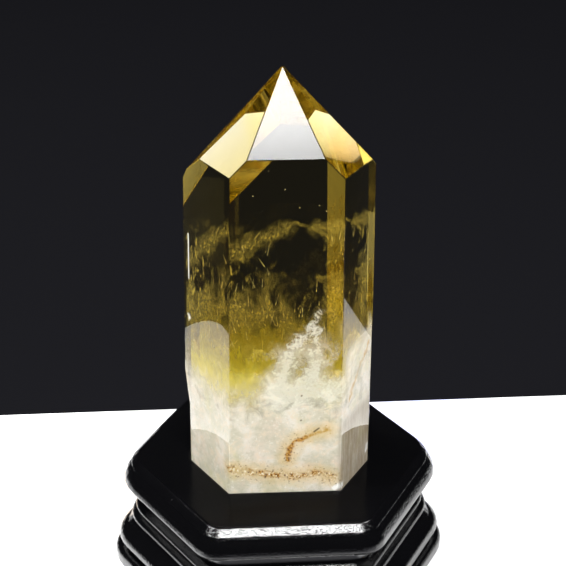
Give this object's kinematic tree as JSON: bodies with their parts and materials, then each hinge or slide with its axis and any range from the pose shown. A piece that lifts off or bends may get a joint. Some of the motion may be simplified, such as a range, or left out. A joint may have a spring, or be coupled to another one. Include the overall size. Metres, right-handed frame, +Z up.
{
  "type": "citrine crystal point",
  "caption": "Polished, pointed citrine crystal standing upright in the shallow recess of a black, hexagonal, moulded wooden stand.",
  "frame": {"origin": "the middle of the stand's underside, where it meets the table", "axes": "+Z up along the stone; the front of the stand and the widest face of the stone face -Y; +X to the right seen from the front"},
  "size_m": [0.1096, 0.0992, 0.1748],
  "materials": {
    "citrine": "polished clear golden stone, cloudy white at the foot",
    "black_lacquer": "glossy black lacquer over turned and moulded wood"
  },
  "bodies": {
    "root": {"crystal_point": "citrine", "stand_top": "black_lacquer", "stand_waist": "black_lacquer", "stand_moulding": "black_lacquer", "stand_base": "black_lacquer"}
  },
  "joints": []
}
